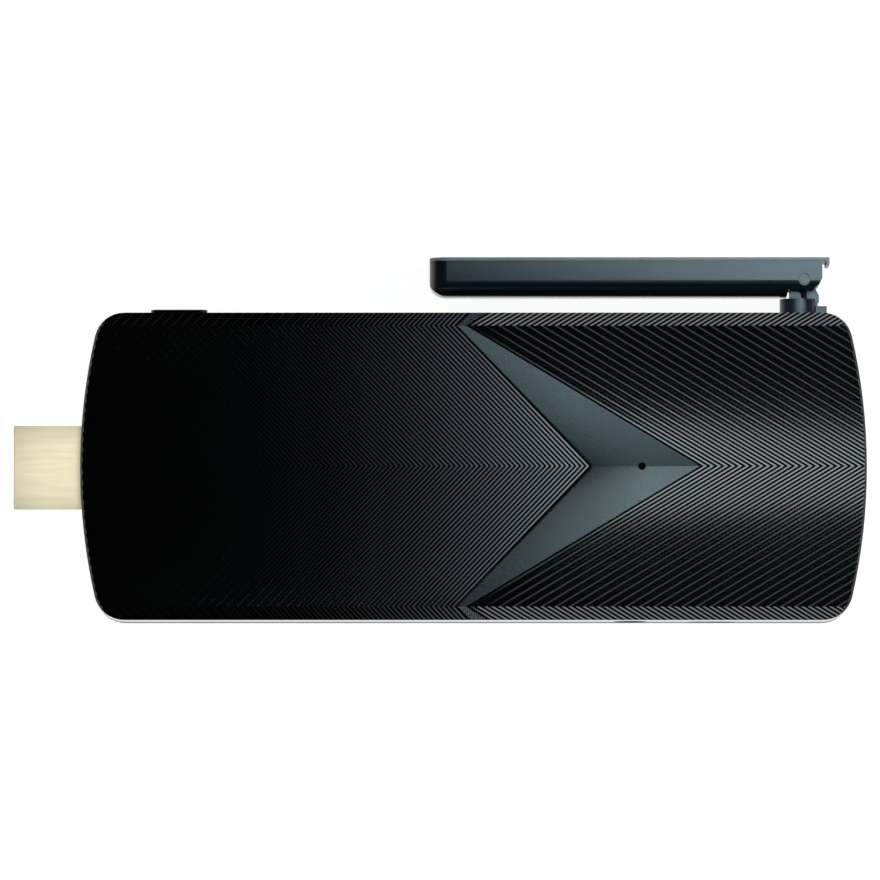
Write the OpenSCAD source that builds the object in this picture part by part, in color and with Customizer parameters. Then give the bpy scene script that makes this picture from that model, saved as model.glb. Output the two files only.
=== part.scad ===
// Streaming media player: a stick-shaped case that plugs straight into a television's
// HDMI socket, with a folding antenna on a swivel at one long side.
// +X points away from the HDMI plug, +Y towards the antenna, +Z out of the patterned cover.
// The origin is the centre of the flat underside.

/* [Case] */
// Overall length of the case, from one bulging end to the other
case_length = 130.3; // [128:0.1:134]
// Overall width of the case
case_width = 51; // [50:0.1:53]
// Overall height of the case
case_height = 14; // [13.8:0.1:15]
// Radius of the bulging ends, seen from above
end_radius = 97; // [90:1:120]
// Radius of the four corners, seen from above
corner_radius = 5; // [4:0.5:6]
// Thickness of the side walls
wall = 1.5; // [1.3:0.1:1.6]
// Thickness of the floor
floor_thickness = 1.5; // [1.3:0.1:1.6]
// Thickness of the cover's top
top_thickness = 2; // [1.8:0.1:2.2]
// Width of the sloping band along each long edge of the cover
band_width = 2.2; // [1.8:0.1:2.6]
// How far that band drops towards the edge
band_drop = 0.6; // [0.4:0.1:1.2]

/* [Arrow recess] */
// Where the crease ends at the back of the arrow
arrow_apex_x = 19.6; // [17:0.1:22]
// Where the crease runs out at the arrow's tip
arrow_tip_x = 37.5; // [35:0.1:40]
// Angle between the arrow's back edges and the length of the case
arrow_back_angle = 46.2; // [44:0.1:50]
// Angle between the arrow's front edges and the length of the case
arrow_front_angle = 31; // [29:0.1:31.2]
// Depth of the recess at the back of the crease
arrow_depth = 1; // [0.6:0.1:1.2]
// Where the light hole sits on the crease
light_x = 27.9; // [26:0.1:30]

/* [Ports and button] */
// Length of the HDMI plug in front of the case
hdmi_reach = 11.15; // [10.5:0.05:11.9]
// Position of the headphone-size jack along the -Y side
jack_x = 26; // [24:0.5:28]
// Position of the micro-USB power inlet along the -Y side
micro_usb_x = 39.6; // [38:0.1:42]
// Position of the memory card slot along the +Y side
card_x = -25; // [-28:0.5:-22]
// Position of the power button along the +Y side
button_x = -48.9; // [-50:0.1:-47]
// Length of the power button
button_length = 9.4; // [8.6:0.1:10]
// How far the power button stands out of the side
button_reach = 0.85; // [0.5:0.05:1]

/* [Antenna] */
// Length of the antenna's shell
antenna_length = 65.2; // [55:0.1:70]
// Depth of the folded antenna in Y, lid included
antenna_depth = 6.45; // [6.2:0.05:6.6]
// Width of the antenna in Z
antenna_width = 9; // [8.6:0.1:9.6]
// Gap between the side of the case and the folded antenna
antenna_gap = 2.9; // [2.9:0.05:3.2]
// Position of the swivel along the +Y side
swivel_x = 54.1; // [53.8:0.1:54.2]

/* [Hidden] */
$fn = 48;

// Places shared by several pieces
half_width = case_width / 2;
parting_z = case_height / 2;
ceiling_z = case_height - top_thickness;
edge_round = 1.2;
top_round = 0.5;
fold_y = half_width - band_width;
end_x = case_length / 2;
past = 1;

// The lip of the bottom case and the rebate that it fits into
lip_inset = 0.8;
lip_height = 0.7;
lip_gap = 0.05;

// Main board, which every port stands on
board_bottom = 3.6;
board_thickness = 1;
board_top = board_bottom + board_thickness;
board_left = -61.4;
board_right = 61.6;
board_half_width = 22.6;
board_corner = [2, 6];
board_notch = [47.5, 15];
solder_gap = 0.02;

// Screws: up through the case and the board into the cover
screw_places = [[-56, 18.6], [-56, -18.6], [56, -18.6], [42.5, 19.6]];
screw_shank_r = 0.95;
screw_pilot_r = 0.9;
screw_head_r = 1.9;
screw_head_height = 1.3;
screw_head_z = 0.3;
screw_length = 8;
post_r = 3.1;
boss_r = 2.2;

// HDMI Type A plug
hdmi_width = 13.9;
hdmi_height = 4.45;
hdmi_cut_width = 1.7;
hdmi_cut_height = 1.5;
hdmi_sheet = 0.3;
hdmi_tip_x = -end_x - hdmi_reach;
hdmi_back_x = -58.6;

// USB Type A socket
usb_width = 13.1;
usb_height = 5.7;
usb_sheet = 0.3;
usb_front_x = end_x - 0.55;
usb_depth = 14;
usb_back = 3;
usb_tongue = [9.6, 11.1, 1.84];
usb_tongue_rise = 0.1;
usb_contact = [8, 1, 0.2];
usb_contact_places = [-3.5, -1, 1, 3.5];
usb_z = board_top + solder_gap + usb_height / 2;

// Micro-USB socket
micro_width = 7.5;
micro_height = 2.5;
micro_sheet = 0.25;
micro_front_y = -half_width + 0.4;
micro_depth = 5;
micro_back = 1.2;
micro_tongue = [3.7, 3.4, 0.6];
micro_tongue_front = 0.6;
micro_tongue_rise = 0.05;
micro_z = board_top + solder_gap + micro_height / 2;

// Headphone-size jack
jack_bore_r = 1.8;
jack_nose_r = 2.5;
jack_hole_r = 2.7;
jack_width = 6.2;
jack_height = 4.76;
jack_z = board_top + solder_gap + jack_height / 2;
jack_front_y = -half_width + 0.15;
jack_depth = 12;
jack_nose = 1.6;
jack_nose_play = 0.15;
jack_back = 0.8;
jack_window = [0.3, 6, 2];
jack_window_y = jack_front_y + 4;
jack_contact = [0.24, 5.8, 1.8];

// Memory card slot
card_width = 14;
card_depth = 14.6;
card_height = 1.5;
card_sheet = 0.2;
card_front_y = half_width - wall - 0.05;
card_mouth_width = 11.4;
card_floor = 0.35;
card_back = 1;
card_z = board_top + solder_gap;

// Power button and the switch behind it
button_height = 2.6;
button_fit = 0.15;
button_flange_y = half_width - wall - 0.05;
button_flange = 0.8;
button_flange_side = 0.7;
button_flange_height = 4;
button_stem = 1.2;
button_stem_width = 3;
button_stem_height = 2;
plunger_r = 0.8;
plunger_length = 1.8;
switch_front_y = button_flange_y - button_flange - button_stem - 0.75;
switch_depth = 3.4;
switch_width = 6;
switch_height = 4.2;
switch_bore = 1.8;
plunger_fit = 0.08;

// Swivel of the antenna: its axis runs along Y
swivel_z = parting_z;
stub_r = 2.3;
stub_fit = 0.06;
stub_end_y = half_width - 5.1;
cable_bore_r = 0.9;
disc_r = 3.2;
disc_gap = 0.1;
disc_y = half_width + disc_gap;
disc_top_y = disc_y + 2.5;
bush_r = 3;
bush_flange_r = 3.7;
bush_flange = 1;
ring_groove_r = 1.95;
ring_thickness = 0.55;
ring_r = 3.5;
ring_mouth = 1.6;
washer_r = 3.4;
washer_thickness = 0.6;
washer_gap = 0.05;
washer_y = half_width - wall - bush_flange - washer_gap - washer_thickness;
ring_y = washer_y - washer_gap - ring_thickness;

// Fold hinge of the antenna: its axis runs along Z
pin_x = swivel_x + 0.8;
pin_y = half_width + 5.7;
pin_r = 0.6;
pin_fit = 0.04;
pin_press = 0.01;
pin_head_r = 0.78;
pin_sink = 0.45;
pin_sink_r = 1;
eye_r = 2.4;
tongue_width = 3.6;
tongue_gap = 0.1;
neck_left = swivel_x - 1.6;
neck_right = swivel_x + 3.3;
neck_top_y = disc_top_y + 1.5;
neck_bevel = 0.9;

// Folded antenna, along +Y of the case
blade_left = swivel_x + 3.8 - antenna_length;
blade_right = swivel_x + 3.8;
blade_bottom = half_width + antenna_gap;
blade_top = blade_bottom + antenna_depth;
lid_thickness = 0.6;
lid_y = blade_top - lid_thickness;
lid_right = blade_right + 1.2;
lip_drop = 0.65;
blade_wall = 1.2;
blade_z = swivel_z - antenna_width / 2;
blade_round = 2.6;
blade_corner = 3;
hinge_block_x = blade_right - 8;
slot_left = pin_x - 2.9;
cheek_y = blade_bottom + 1.1;
stop_gap = 0.08;
stop_width = 3.2;
stop_top_y = pin_y - (lid_right - pin_x) - stop_gap;

// Coaxial lead between the radio module and the antenna
coax_r = 0.55;
base_coax_r = 0.45;
coax_z = swivel_z;
coax_bend = 4;
coax_plug_x = 36;
coax_plug_y = 13;
coax_turn_y = coax_plug_y;
wifi_x = 33;
wifi_y = 11.6;
wifi_length = 13;
wifi_width = 12;

// Gaps around the ports in the walls
port_gap = 0.2;
inlet_gap = 0.3;
card_gap = 0.1;

// Status light: the hole in the crease and the rod under it
light_hole_r = 0.65;
light_rod_r = 0.6;
light_rod_bottom = 5.6;
light_rod_sink = 0.95;
light_collar_r = 1.5;
light_collar_height = 0.88;

// Cooling slots in the floor, in two groups
vent_places = [-30, 30];
vent_side_count = 5;
vent_pitch = 2.6;
vent_width = 1.2;
vent_length = 18;

// Ledges that carry the board's long edges
ledge_places = [-34, 0, 34];
ledge_y = 21.4;
ledge_length = 6;
ledge_width = 1.2;

// Processor, pad and heat sink
processor_x = -18;
processor_size = 14;
processor_height = 1;
pad_height = 0.8;
sink_length = 34;
sink_width = 30;
sink_base = 1.2;
fin_side_count = 5;
fin_pitch = 2.9;
fin_thickness = 1;
fin_gap = 0.6;

// Other packages on the board: length, width and height, and where they lie
memory_size = [9, 11, 1];
memory_x = 9;
memory_y = 7.4;
storage_size = [11.5, 13, 1];
storage_place = [-46.5, -6];
power_chip_size = [6, 6, 0.85];
power_chip_place = [41, -8];
coil_size = [4, 4, 2];
coil_places = [[34, -8], [34, -14], [47, -6]];
capacitor_size = [1.6, 0.8, 0.8];
capacitor_count = 6;
capacitor_pitch = 3;
capacitor_rows = [[-6, 18], [-8, -18.5]];
crystal_size = [3.2, 2.5, 0.7];
crystal_place = [-44, 8];
led_size = [1.6, 0.9, 0.7];

// Radio module
wifi_thickness = 0.6;
shield_rim = 0.5;
shield_length = 7.4;
shield_height = 1.4;
wifi_top = board_top + wifi_thickness + 2 * solder_gap;
coax_plug_r = 1.3;
coax_plug_height = 2.3;
coax_ferrule_r = 0.75;
coax_ferrule_end = 2.6;

// Inside of the HDMI plug
hdmi_pocket_depth = 8.2;
hdmi_pocket_width = 11.6;
hdmi_pocket_height = 2;
hdmi_mouth = 0.6;
hdmi_leg_x = -60.8;
hdmi_leg = [1.8, 0.3, 1.9];
hdmi_contact = [6.8, 0.4, 0.15];
hdmi_contact_start = 1.4;

// Points of an arc, counted from the angle from to the angle to
function arc(x, y, r, from, to, steps) =
    [for (i = [0:steps]) let (a = from + (to - from) * i / steps) [x + r * cos(a), y + r * sin(a)]];

// Plan outline of the case, drawn inward by inset: bulging ends that run into round corners
function case_outline(inset = 0) =
    let (
        bulge_x = end_x - end_radius,
        corner_y = half_width - corner_radius,
        reach = end_radius - corner_radius,
        corner_x = bulge_x + sqrt(reach * reach - corner_y * corner_y),
        meet = asin(corner_y / reach),
        right = concat(
            arc(corner_x, -corner_y, corner_radius - inset, -90, -meet, 8),
            arc(bulge_x, 0, end_radius - inset, -meet, meet, 16),
            arc(corner_x, corner_y, corner_radius - inset, meet, 90, 8)
        )
    )
    concat(right, [for (p = right) -p]);

// A prism of the case's plan outline between two heights
module outline_prism(inset, low, high)
    translate([0, 0, low]) linear_extrude(high - low) polygon(case_outline(inset));

// A box given by its two opposite corners
module block(low, high) translate(low) cube(high - low);

// A round bar along Y between two places
module bar_y(x, z, r, from_y, to_y)
    translate([x, from_y, z]) rotate([-90, 0, 0]) cylinder(r = r, h = to_y - from_y);

// A slot or tongue with round ends, standing along Y
module stadium_y(x, z, length, height, from_y, to_y) {
    r = height / 2;
    for (side = [-1, 1]) bar_y(x + side * (length / 2 - r), z, r, from_y, to_y);
    block([x - length / 2 + r, from_y, z - r], [x + length / 2 - r, to_y, z + r]);
}

// The solid outer form of the closed case
module case_form()
    difference() {
        hull() {
            outline_prism(edge_round, 0, 0.01);
            outline_prism(0, edge_round, case_height - top_round);
            outline_prism(top_round, case_height - 0.01, case_height);
        }
        for (side = [0, 1]) mirror([0, side, 0]) rotate([90, 0, 90])
            linear_extrude(case_length + 2 * past, center = true) polygon([
                [fold_y, case_height],
                [half_width + past, case_height - band_drop * (1 + past / band_width)],
                [half_width + past, case_height + past],
                [fold_y, case_height + past]
            ]);
    }

// The closed case with its hollow, before it is parted into cover and bottom
module case_shell()
    difference() {
        case_form();
        outline_prism(wall, floor_thickness, ceiling_z);
    }

// Everything that the two halves leave open in their side walls
module wall_openings() {
    translate([-end_x - past, 0, parting_z]) rotate([90, 0, 90])
        linear_extrude(wall + 3) hdmi_outline(port_gap);
    block(
        [end_x - wall - past, -usb_width / 2 - port_gap, usb_z - usb_height / 2 - port_gap],
        [end_x + past, usb_width / 2 + port_gap, usb_z + usb_height / 2 + port_gap]
    );
    stadium_y(micro_usb_x, micro_z, micro_width + 2 * inlet_gap, micro_height + 2 * inlet_gap,
        -half_width - past, -half_width + wall + past);
    bar_y(jack_x, jack_z, jack_hole_r, -half_width - past, -half_width + wall + past);
    block([card_x - card_mouth_width / 2 - inlet_gap, half_width - wall - past, card_z + card_gap],
        [card_x + card_mouth_width / 2 + inlet_gap, half_width + past, card_z + card_height + card_gap]);
    stadium_y(button_x, parting_z, button_length + 2 * button_fit, button_height + 2 * button_fit,
        half_width - wall - past, half_width + past);
    bar_y(swivel_x, swivel_z, bush_r + 0.02, half_width - wall - past, half_width + past);
}

// One side of the arrow: a facet that falls from the front edge to the crease
module arrow_facet() {
    fall = atan(arrow_depth / ((arrow_tip_x - arrow_apex_x) * sin(arrow_front_angle)));
    intersection() {
        translate([0, 0, case_height - 2 * arrow_depth]) linear_extrude(4 * arrow_depth) polygon([
            [arrow_apex_x, 0],
            [arrow_tip_x, 0],
            [arrow_tip_x - fold_y / tan(arrow_front_angle), fold_y],
            [arrow_apex_x - fold_y / tan(arrow_back_angle), fold_y]
        ]);
        translate([arrow_tip_x, 0, case_height]) rotate([0, 0, 180 - arrow_front_angle])
            rotate([-fall, 0, 0]) translate([-5, -past, 0]) cube([60, 14, 5]);
    }
}

// Patterned cover: the upper half of the case, with the arrow recess and the screw bosses
module top_cover() color([0.03, 0.035, 0.04])
    difference() {
        union() {
            intersection() {
                case_shell();
                translate([-case_length, -case_width, parting_z])
                    cube([2 * case_length, 2 * case_width, case_height]);
            }
            for (p = screw_places) translate([p.x, p.y, board_top + lip_gap])
                cylinder(r = boss_r, h = ceiling_z + 0.5 - board_top - lip_gap);
        }
        difference() {
            outline_prism(lip_inset - lip_gap, parting_z - past, parting_z + lip_height + lip_gap);
            outline_prism(wall + lip_gap, parting_z - 2 * past, parting_z + 2 * past);
        }
        wall_openings();
        for (side = [0, 1]) mirror([0, side, 0]) arrow_facet();
        translate([light_x, 0, ceiling_z - past]) cylinder(r = light_hole_r, h = 5);
        for (p = screw_places) translate([p.x, p.y, 0]) cylinder(r = screw_pilot_r, h = ceiling_z - 1.5);
    }

// Bottom case: the lower half, with a lip, screw posts, board ledges and cooling slots
module bottom_case() color([0.04, 0.045, 0.05])
    difference() {
        union() {
            intersection() {
                case_shell();
                translate([-case_length, -case_width, -past])
                    cube([2 * case_length, 2 * case_width, parting_z + past]);
            }
            difference() {
                outline_prism(lip_inset, parting_z - past, parting_z + lip_height);
                outline_prism(wall, parting_z - 2 * past, parting_z + 2 * past);
            }
            for (p = screw_places) translate([p.x, p.y, floor_thickness - 0.5])
                cylinder(r = post_r, h = board_bottom - floor_thickness + 0.5);
            for (x = ledge_places, side = [-1, 1])
                block([x - ledge_length / 2, side * ledge_y - ledge_width / 2, floor_thickness - 0.5],
                    [x + ledge_length / 2, side * ledge_y + ledge_width / 2, board_bottom]);
        }
        wall_openings();
        for (p = screw_places) translate([p.x, p.y, -past]) {
            cylinder(r = screw_shank_r + 0.2, h = 10);
            cylinder(r = screw_head_r + 0.2, h = past + screw_head_z + screw_head_height);
        }
        for (group = vent_places, i = [-vent_side_count:vent_side_count])
            translate([group + i * vent_pitch - vent_width / 2, -vent_length / 2, -past])
                cube([vent_width, vent_length, floor_thickness + 2 * past]);
    }

// Four pan-head self-tapping screws, driven from below
module case_screws() color("silver")
    for (p = screw_places) translate([p.x, p.y, screw_head_z]) difference() {
        union() {
            cylinder(r = screw_head_r, h = screw_head_height);
            cylinder(r = screw_shank_r, h = screw_head_height + screw_length);
        }
        for (turn = [0, 90]) rotate([0, 0, turn]) translate([-1, -0.2, -past]) cube([2, 0.4, past + 0.7]);
    }

// Clear rod that carries the light up to the hole on the crease
module light_pipe() color([0.1, 0.12, 0.14])
    translate([light_x, 0, 0]) {
        translate([0, 0, light_rod_bottom])
            cylinder(r = light_rod_r, h = case_height - light_rod_sink - light_rod_bottom);
        translate([0, 0, ceiling_z - light_collar_height - solder_gap])
            cylinder(r = light_collar_r, h = light_collar_height);
    }

// Printed circuit board, notched around the swivel
module main_board() color([0.05, 0.2, 0.12])
    difference() {
        translate([0, 0, board_bottom]) linear_extrude(board_thickness) polygon([
            [board_left, -board_half_width + board_corner.y],
            [board_left + board_corner.x, -board_half_width],
            [board_right - board_corner.x, -board_half_width],
            [board_right, -board_half_width + board_corner.y],
            [board_right, board_notch.y],
            board_notch,
            [board_notch.x, board_half_width],
            [board_left + board_corner.x, board_half_width],
            [board_left, board_half_width - board_corner.y]
        ]);
        for (p = screw_places) translate([p.x, p.y, 0]) cylinder(r = screw_shank_r + 0.3, h = 10);
    }

// A flat chip package lying on the board
module chip(place, size)
    translate([place.x - size.x / 2, place.y - size.y / 2, board_top + solder_gap]) cube(size);

// Main processor
module processor() color([0.08, 0.08, 0.08])
    chip([processor_x, 0], [processor_size, processor_size, processor_height]);

// Soft pad between the processor and the heat sink
module thermal_pad() color([0.55, 0.62, 0.7])
    translate([0, 0, processor_height + solder_gap])
        chip([processor_x, 0], [processor_size, processor_size, pad_height]);

// Finned aluminium heat sink above the processor
module heat_sink() color("silver") {
    base_z = board_top + processor_height + pad_height + 3 * solder_gap;
    left = processor_x - sink_length / 2;
    right = processor_x + sink_length / 2;
    block([left, -sink_width / 2, base_z], [right, sink_width / 2, base_z + sink_base]);
    for (i = [-fin_side_count:fin_side_count])
        block([left, i * fin_pitch - fin_thickness / 2, base_z + sink_base - 0.2],
            [right, i * fin_pitch + fin_thickness / 2, ceiling_z - fin_gap]);
}

// Two working-memory chips
module memory_chips() color([0.07, 0.07, 0.08])
    for (side = [-1, 1]) chip([memory_x, side * memory_y], memory_size);

// Flash storage chip
module storage_chip() color([0.07, 0.07, 0.08]) chip(storage_place, storage_size);

// Power management chip
module power_chip() color([0.06, 0.06, 0.07]) chip(power_chip_place, power_chip_size);

// Three square power coils
module power_coils() color([0.25, 0.24, 0.23])
    for (p = coil_places) chip(p, coil_size);

// Ceramic capacitors beside the chips
module capacitors() color([0.6, 0.45, 0.3])
    for (start = capacitor_rows, i = [0:capacitor_count - 1])
        chip([start.x + i * capacitor_pitch, start.y], capacitor_size);

// Quartz crystal can
module crystal() color("silver") chip(crystal_place, crystal_size);

// Status light on the board, under the light pipe
module status_led() color([0.9, 0.9, 0.85]) chip([light_x, 0], led_size);

// Small circuit board of the radio module
module wifi_board() color([0.05, 0.18, 0.3])
    chip([wifi_x, wifi_y], [wifi_length, wifi_width, wifi_thickness]);

// Tin shield over the radio module
module wifi_shield() color("silver")
    translate([wifi_x - wifi_length / 2 + shield_rim, wifi_y - wifi_width / 2 + shield_rim, wifi_top])
        cube([shield_length, wifi_width - 2 * shield_rim, shield_height]);

// Snap-on coaxial plug on the radio module
module coax_plug() color([0.8, 0.68, 0.35]) {
    translate([coax_plug_x, coax_plug_y, wifi_top]) cylinder(r = coax_plug_r, h = coax_plug_height);
    translate([coax_plug_x + 1, coax_plug_y, coax_z]) rotate([0, 90, 0])
        cylinder(r = coax_ferrule_r, h = coax_ferrule_end - 1);
}

// Stretch of the lead inside the case, from the plug round to the mouth of the swivel
module case_coax() color([0.05, 0.05, 0.05]) {
    start_x = coax_plug_x + coax_ferrule_end + 0.05;
    translate([start_x, coax_turn_y, coax_z]) rotate([0, 90, 0])
        cylinder(r = coax_r, h = swivel_x - coax_bend - start_x);
    translate([swivel_x - coax_bend, coax_turn_y + coax_bend, coax_z]) rotate([0, 0, -90])
        rotate_extrude(angle = 90) translate([coax_bend, 0]) circle(coax_r);
    bar_y(swivel_x, coax_z, coax_r, coax_turn_y + coax_bend, stub_end_y - 0.05);
}

// Cross-section of the HDMI plug, grown by grow: flat above, cut corners below
module hdmi_outline(grow = 0) {
    w = hdmi_width / 2 + grow;
    h = hdmi_height / 2 + grow;
    polygon([[-w, h], [-w, -h + hdmi_cut_height], [-w + hdmi_cut_width, -h],
        [w - hdmi_cut_width, -h], [w, -h + hdmi_cut_height], [w, h]]);
}

// An HDMI cross-section run along X
module hdmi_bar(grow, from_x, to_x)
    translate([from_x, 0, parting_z]) rotate([90, 0, 90])
        linear_extrude(to_x - from_x) hdmi_outline(grow);

// Gilded sheet-metal shell of the HDMI plug, with its two legs on the board
module hdmi_shell() color([0.92, 0.87, 0.73]) {
    difference() {
        hdmi_bar(0, hdmi_tip_x, hdmi_back_x);
        hdmi_bar(-hdmi_sheet, hdmi_tip_x - past, hdmi_back_x + past);
    }
    for (side = [-1, 1])
        translate([
            hdmi_leg_x,
            side * (hdmi_width / 2 - hdmi_leg.y / 2) - hdmi_leg.y / 2,
            board_top + solder_gap
        ]) cube(hdmi_leg);
}

// Moulded block inside the HDMI plug, hollow in front
module hdmi_insulator() color([0.05, 0.05, 0.05])
    difference() {
        hdmi_bar(-hdmi_sheet, hdmi_tip_x + hdmi_mouth, hdmi_back_x);
        block([hdmi_tip_x, -hdmi_pocket_width / 2, parting_z - hdmi_pocket_height / 2],
            [hdmi_tip_x + hdmi_pocket_depth, hdmi_pocket_width / 2, parting_z + hdmi_pocket_height / 2]);
    }

// Nineteen contacts in two staggered rows, on the floor and roof of the pocket
module hdmi_contacts() color([0.85, 0.7, 0.35])
    for (row = [0, 1], i = [0:9 - row])
        translate([
            hdmi_tip_x + hdmi_contact_start,
            i - 4.5 + row / 2 - hdmi_contact.y / 2,
            parting_z + (row == 0 ? hdmi_pocket_height / 2 - hdmi_contact.z : -hdmi_pocket_height / 2)
        ]) cube(hdmi_contact);

// Sheet-metal shell of the USB socket, open towards +X
module usb_shell() color("silver")
    translate([usb_front_x - usb_depth, 0, usb_z]) difference() {
        translate([0, -usb_width / 2, -usb_height / 2]) cube([usb_depth, usb_width, usb_height]);
        translate([usb_sheet, -usb_width / 2 + usb_sheet, -usb_height / 2 + usb_sheet])
            cube([usb_depth, usb_width - 2 * usb_sheet, usb_height - 2 * usb_sheet]);
    }

// Moulded tongue of the USB socket
module usb_tongue() color([0.92, 0.92, 0.9])
    translate([usb_front_x - usb_depth, 0, usb_z]) {
        translate([usb_sheet, -usb_width / 2 + usb_sheet, -usb_height / 2 + usb_sheet])
            cube([usb_back, usb_width - 2 * usb_sheet, usb_height - 2 * usb_sheet]);
        translate([usb_sheet + usb_back - 0.1, -usb_tongue.y / 2, usb_tongue_rise]) cube(usb_tongue);
    }

// Four contacts under the tongue of the USB socket
module usb_contacts() color([0.85, 0.7, 0.35])
    for (y = usb_contact_places)
        translate([
            usb_front_x - usb_depth + usb_sheet + usb_back + 0.05,
            y - usb_contact.y / 2,
            usb_z + usb_tongue_rise - usb_contact.z
        ]) cube(usb_contact);

// Sheet-metal shell of the micro-USB socket, open towards -Y
module micro_usb_shell() color("silver")
    difference() {
        stadium_y(micro_usb_x, micro_z, micro_width, micro_height,
            micro_front_y, micro_front_y + micro_depth);
        stadium_y(micro_usb_x, micro_z, micro_width - 2 * micro_sheet, micro_height - 2 * micro_sheet,
            micro_front_y - past, micro_front_y + micro_depth + past);
    }

// Moulded tongue of the micro-USB socket
module micro_usb_tongue() color([0.06, 0.06, 0.06]) {
    play = 2 * micro_sheet + solder_gap;
    stadium_y(micro_usb_x, micro_z, micro_width - play, micro_height - play,
        micro_front_y + micro_depth - micro_back, micro_front_y + micro_depth);
    translate([
        micro_usb_x - micro_tongue.x / 2,
        micro_front_y + micro_tongue_front,
        micro_z + micro_tongue_rise
    ]) cube(micro_tongue);
}

// A box in each side wall of the jack, centred in its window
module jack_sides(size)
    for (side = [-1, 1])
        translate([
            jack_x + side * (jack_width - jack_window.x) / 2 - size.x / 2,
            jack_window_y + (jack_window.y - size.y) / 2,
            jack_z - size.z / 2
        ]) cube(size);

// Moulded body of the jack, with its nose through the wall
module jack_body() color([0.05, 0.05, 0.05])
    difference() {
        union() {
            block([jack_x - jack_width / 2, jack_front_y + jack_nose, jack_z - jack_height / 2],
                [jack_x + jack_width / 2, jack_front_y + jack_depth + jack_back, jack_z + jack_height / 2]);
            bar_y(jack_x, jack_z, jack_nose_r - jack_nose_play, jack_front_y, jack_front_y + jack_nose + 0.5);
        }
        bar_y(jack_x, jack_z, jack_bore_r, jack_front_y - past, jack_front_y + jack_depth);
        jack_sides(jack_window);
    }

// Spring contacts in the sides of the jack
module jack_contacts() color("silver") jack_sides(jack_contact);

// Moulded base of the memory card slot
module card_slot_base() color([0.06, 0.06, 0.06])
    translate([card_x - card_width / 2, card_front_y - card_depth, card_z]) {
        cube([card_width, card_depth, card_floor]);
        cube([(card_width - card_mouth_width) / 2, card_depth, card_height - card_sheet]);
        translate([(card_width + card_mouth_width) / 2, 0, 0])
            cube([(card_width - card_mouth_width) / 2, card_depth, card_height - card_sheet]);
        cube([card_width, card_back, card_height - card_sheet]);
    }

// Sheet-metal cover of the memory card slot
module card_slot_cover() color("silver")
    translate([card_x - card_width / 2, card_front_y - card_depth, card_z + card_height - card_sheet])
        cube([card_width, card_depth, card_sheet]);

// Housing of the push switch behind the power button
module switch_body() color([0.1, 0.1, 0.1])
    difference() {
        block([button_x - switch_width / 2, switch_front_y - switch_depth, board_top + solder_gap],
            [button_x + switch_width / 2, switch_front_y, board_top + solder_gap + switch_height]);
        bar_y(button_x, parting_z, plunger_r + plunger_fit,
            switch_front_y - switch_bore, switch_front_y + past);
    }

// Plunger of the push switch, which the button pushes in
module switch_plunger() color([0.75, 0.72, 0.6])
    bar_y(button_x, parting_z, plunger_r,
        button_flange_y - button_flange - button_stem - plunger_length,
        button_flange_y - button_flange - button_stem);

// Power button: a long cap with a flange behind the wall and a short stem
module power_button() color([0.05, 0.05, 0.055]) {
    flange_x = button_length / 2 + button_flange_side;
    flange_back_y = button_flange_y - button_flange;
    stadium_y(button_x, parting_z, button_length, button_height,
        button_flange_y - 0.1, half_width + button_reach);
    block([button_x - flange_x, flange_back_y, parting_z - button_flange_height / 2],
        [button_x + flange_x, button_flange_y, parting_z + button_flange_height / 2]);
    block([button_x - button_stem_width / 2, flange_back_y - button_stem, parting_z - button_stem_height / 2],
        [button_x + button_stem_width / 2, flange_back_y + 0.1, parting_z + button_stem_height / 2]);
}

// Flanged bush that the antenna's stub turns in, clamped behind the wall
module swivel_bush() color([0.8, 0.8, 0.76])
    difference() {
        union() {
            bar_y(swivel_x, swivel_z, bush_r, half_width - wall - 0.2, half_width);
            bar_y(swivel_x, swivel_z, bush_flange_r, half_width - wall - bush_flange, half_width - wall);
        }
        bar_y(swivel_x, swivel_z, stub_r + stub_fit, half_width - 5, half_width + past);
    }

// Swivelling base of the antenna: stub, disc, stop and the tongue that carries the hinge
module antenna_base() color([0.42, 0.47, 0.49])
    difference() {
        union() {
            bar_y(swivel_x, swivel_z, stub_r, stub_end_y, disc_y + 0.5);
            bar_y(swivel_x, swivel_z, disc_r, disc_y, disc_top_y);
            block([swivel_x + disc_r - 1, disc_y, swivel_z - stop_width / 2],
                [pin_x + 3.8, stop_top_y, swivel_z + stop_width / 2]);
            translate([0, 0, swivel_z - tongue_width / 2]) linear_extrude(tongue_width) polygon([
                [neck_left, disc_top_y - 0.5],
                [neck_right, disc_top_y - 0.5],
                [neck_right, neck_top_y - neck_bevel],
                [neck_right - 0.7, neck_top_y + 0.4],
                [pin_x + 1, pin_y],
                [pin_x - 1, pin_y],
                [neck_left, neck_top_y]
            ]);
            translate([pin_x, pin_y, swivel_z - tongue_width / 2]) cylinder(r = eye_r, h = tongue_width);
        }
        difference() {
            bar_y(swivel_x, swivel_z, stub_r + past, ring_y - 0.02, ring_y + ring_thickness + 0.02);
            bar_y(swivel_x, swivel_z, ring_groove_r, ring_y - past, ring_y + past + ring_thickness);
        }
        bar_y(swivel_x, swivel_z, cable_bore_r, stub_end_y - past, disc_y + 0.8);
        block([swivel_x - 0.9, disc_y + 0.7, swivel_z - 0.9],
            [pin_x + 0.6, disc_top_y - 0.3, swivel_z + 1.8]);
        block([pin_x - 0.5, disc_y + 1.2, swivel_z + 0.6], [pin_x + 0.5, neck_top_y + 0.2, swivel_z + 3]);
        translate([pin_x + 0.2, neck_top_y - 0.5, swivel_z + 0.6]) rotate([0, 0, 146])
            translate([0, -0.55, 0]) cube([5, 1.1, 3]);
        translate([pin_x, pin_y, swivel_z - 5]) cylinder(r = pin_r + pin_fit, h = 10);
    }

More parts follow.
